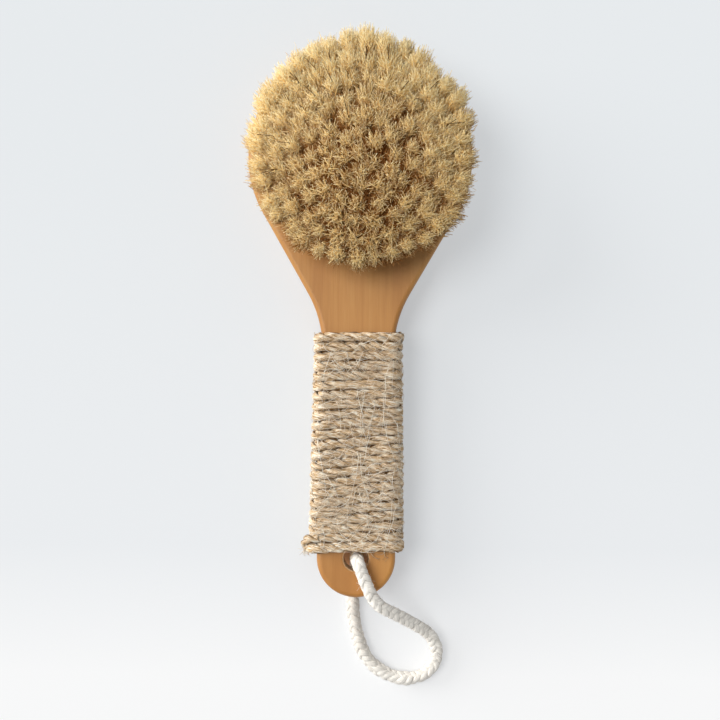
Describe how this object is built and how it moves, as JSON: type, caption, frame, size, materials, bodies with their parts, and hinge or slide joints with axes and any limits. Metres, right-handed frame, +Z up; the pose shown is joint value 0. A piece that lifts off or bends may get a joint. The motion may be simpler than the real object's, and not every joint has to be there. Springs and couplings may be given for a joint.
{
  "type": "body dry brush",
  "caption": "Round-headed wooden dry brush with natural bristle tufts, a twine-wound handle and a cotton hang loop through its end.",
  "frame": {"origin": "on the surface that the brush lies on, bristles up, under the middle of its outline without the hang cord", "axes": "+Z up through the bristles, +Y along the handle towards the head, +X across the head"},
  "size_m": [0.093, 0.2665, 0.039],
  "materials": {
    "wood": "satin, sanded and lightly oiled, faint lengthwise grain",
    "bristle": "matte natural bristle, pale tips over darker roots",
    "anchor_wire": "plain drawn wire",
    "jute_twine": "two-ply jute with loose fibres",
    "cotton_cord": "round braided cotton",
    "whipping_thread": "waxed cotton thread"
  },
  "bodies": {
    "brush": {"wooden_body": "wood", "bristle_ring_0": "bristle", "bristle_ring_1": "bristle", "bristle_ring_2": "bristle", "bristle_ring_3": "bristle", "bristle_ring_4": "bristle", "bristle_ring_5": "bristle", "bristle_ring_6": "bristle", "tuft_anchors": "anchor_wire", "twine_wrap": "jute_twine"},
    "hang_loop": {"hang_cord": "cotton_cord", "cord_whipping": "whipping_thread"}
  },
  "joints": [
    {"name": "hang_loop_swing", "type": "hinge", "parent": "brush", "child": "hang_loop", "pos_m": [0, -0.09775, 0.01], "axis": [0, 0, 1], "range_deg": [-75, 60]}
  ]
}
